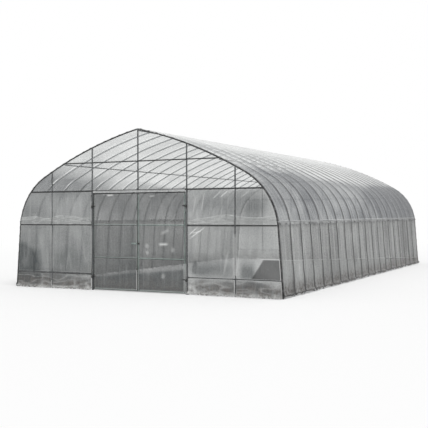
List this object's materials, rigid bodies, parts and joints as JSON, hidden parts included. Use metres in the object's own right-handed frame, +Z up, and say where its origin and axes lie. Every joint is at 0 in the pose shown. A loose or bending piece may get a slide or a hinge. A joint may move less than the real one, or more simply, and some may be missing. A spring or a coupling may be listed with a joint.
{
  "type": "polytunnel greenhouse",
  "caption": "Arched growing tunnel of steel hoops and framed end walls under translucent polythene film, with double doors that swing outwards in the front wall.",
  "frame": {"origin": "on the ground, under the middle of the tunnel", "axes": "+X to the right seen from the front, +Y from the front doors to the rear, +Z up"},
  "size_m": [6.6388, 12.0729, 3.4826],
  "materials": {
    "galvanised_tube": "weathered galvanised, dull grey",
    "aluminium_channel": "mill finish, dulled",
    "black_ironwork": "dark painted steel",
    "polythene_film": "translucent, wrinkled and dusty"
  },
  "bodies": {
    "tunnel": {"front_bottom_rails": "galvanised_tube", "front_collar_rail": "galvanised_tube", "front_door_beam": "galvanised_tube", "front_door_posts": "galvanised_tube", "front_door_studs": "galvanised_tube", "front_gable_film": "polythene_film", "front_head_channel": "aluminium_channel", "front_hoop": "galvanised_tube", "front_king_post": "galvanised_tube", "front_left_film": "polythene_film", "front_mid_rails": "galvanised_tube", "front_mullions": "galvanised_tube", "front_right_film": "polythene_film", "hinge_brackets": "black_ironwork", "hoops_02_to_05": "galvanised_tube", "hoops_06_to_09": "galvanised_tube", "hoops_10_to_13": "galvanised_tube", "hoops_14_to_17": "galvanised_tube", "hoops_18_to_20": "galvanised_tube", "left_eave_channel": "aluminium_channel", "left_roof_film": "polythene_film", "left_shoulder_film": "polythene_film", "left_side_film": "polythene_film", "rear_bottom_rails": "galvanised_tube", "rear_cross_rails": "galvanised_tube", "rear_film": "polythene_film", "rear_hoop": "galvanised_tube", "rear_mid_rails": "galvanised_tube", "rear_mullions": "galvanised_tube", "rear_posts": "galvanised_tube", "ridge_connectors": "galvanised_tube", "ridge_purlin": "galvanised_tube", "right_eave_channel": "aluminium_channel", "right_roof_film": "polythene_film", "right_shoulder_film": "polythene_film", "right_side_film": "polythene_film", "side_purlins": "galvanised_tube"},
    "left_door": {"left_door_frame": "galvanised_tube", "left_door_film": "polythene_film", "left_hinge_eyes": "black_ironwork", "door_bolt": "black_ironwork"},
    "right_door": {"right_door_frame": "galvanised_tube", "right_door_film": "polythene_film", "right_hinge_eyes": "black_ironwork", "bolt_keeper": "black_ironwork"}
  },
  "joints": [
    {"name": "left_door_swing", "type": "hinge", "parent": "tunnel", "child": "left_door", "pos_m": [-1.15, -6.034, 1.05], "axis": [0, 0, -1], "range_deg": [0, 110]},
    {"name": "right_door_swing", "type": "hinge", "parent": "tunnel", "child": "right_door", "pos_m": [1.15, -6.034, 1.05], "axis": [0, 0, 1], "range_deg": [0, 110]}
  ]
}
